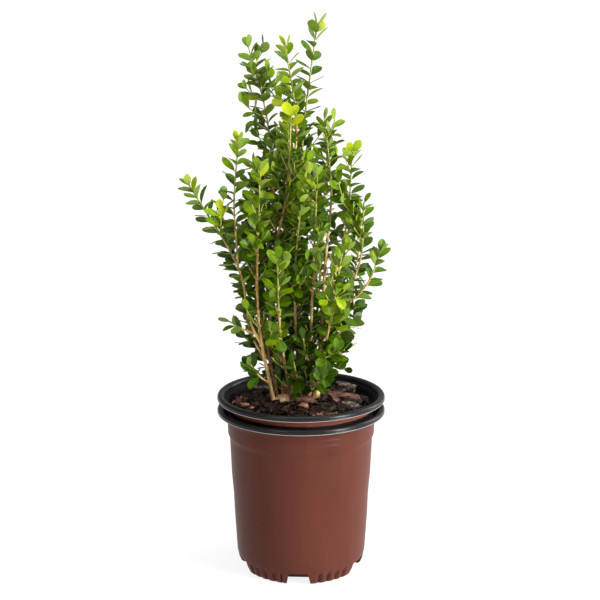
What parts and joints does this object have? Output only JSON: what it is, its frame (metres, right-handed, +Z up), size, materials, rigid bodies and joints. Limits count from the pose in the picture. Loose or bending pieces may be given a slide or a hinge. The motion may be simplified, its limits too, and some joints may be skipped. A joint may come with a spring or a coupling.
{
  "type": "potted boxwood shrub",
  "caption": "Upright many-stemmed boxwood shrub with small oval leaves, growing in potting mix in two nested round nursery pots.",
  "frame": {"origin": "centre of the outer pot's flat underside", "axes": "+Z up along the pot's axis, front towards -Y, right towards +X"},
  "size_m": [0.2012, 0.165, 0.5436],
  "materials": {
    "brown_plastic": "satin moulded plastic",
    "black_plastic": "satin moulded plastic of the rims and the inner faces",
    "potting_mix": "damp bark and peat",
    "pale_bark": "peeling pale bark",
    "brown_bark": "reddish brown bark",
    "green_leaf": "waxy leaves",
    "yellow_leaf": "waxy young and fading leaves",
    "green_shoot": "smooth young shoots"
  },
  "bodies": {
    "root": {"foliage_back_far_left": "green_leaf", "foliage_back_far_right": "green_leaf", "foliage_back_left": "green_leaf", "foliage_back_middle": "green_leaf", "foliage_back_right": "green_leaf", "foliage_back_tall": "green_leaf", "foliage_bare_sprig": "green_leaf", "foliage_brown": "green_leaf", "foliage_far_left": "green_leaf", "foliage_far_right": "green_leaf", "foliage_front_middle": "green_leaf", "foliage_front_right": "green_leaf", "foliage_left_front": "green_leaf", "foliage_left_middle": "green_leaf", "foliage_low_back": "green_leaf", "foliage_low_back_left": "green_leaf", "foliage_low_back_right": "green_leaf", "foliage_low_front": "green_leaf", "foliage_low_front_left": "green_leaf", "foliage_low_front_right": "green_leaf", "foliage_low_front_side": "green_leaf", "foliage_low_left": "green_leaf", "foliage_low_left_back": "green_leaf", "foliage_low_left_front": "green_leaf", "foliage_low_right": "green_leaf", "foliage_low_right_back": "green_leaf", "foliage_middle_back": "green_leaf", "foliage_middle_front": "green_leaf", "foliage_middle_left": "green_leaf", "foliage_middle_right": "green_leaf", "foliage_pale_right": "green_leaf", "foliage_right_arch": "green_leaf", "foliage_tallest": "green_leaf", "foliage_upper_left": "green_leaf", "foliage_upper_right": "green_leaf", "inner_pot": "brown_plastic", "outer_pot": "brown_plastic", "potting_soil": "potting_mix", "root_crown": "pale_bark", "stem_back_far_left": "pale_bark", "stem_back_far_right": "pale_bark", "stem_back_left": "pale_bark", "stem_back_middle": "pale_bark", "stem_back_right": "pale_bark", "stem_back_tall": "pale_bark", "stem_brown": "brown_bark", "stem_far_left": "pale_bark", "stem_far_right": "pale_bark", "stem_front_middle": "pale_bark", "stem_front_right": "pale_bark", "stem_left_front": "pale_bark", "stem_left_middle": "pale_bark", "stem_low_front_left": "pale_bark", "stem_low_front_right": "pale_bark", "stem_pale_right": "pale_bark", "stem_right_arch": "pale_bark", "stem_tallest": "pale_bark", "stem_upper_left": "pale_bark", "stem_upper_right": "pale_bark"}
  },
  "joints": []
}
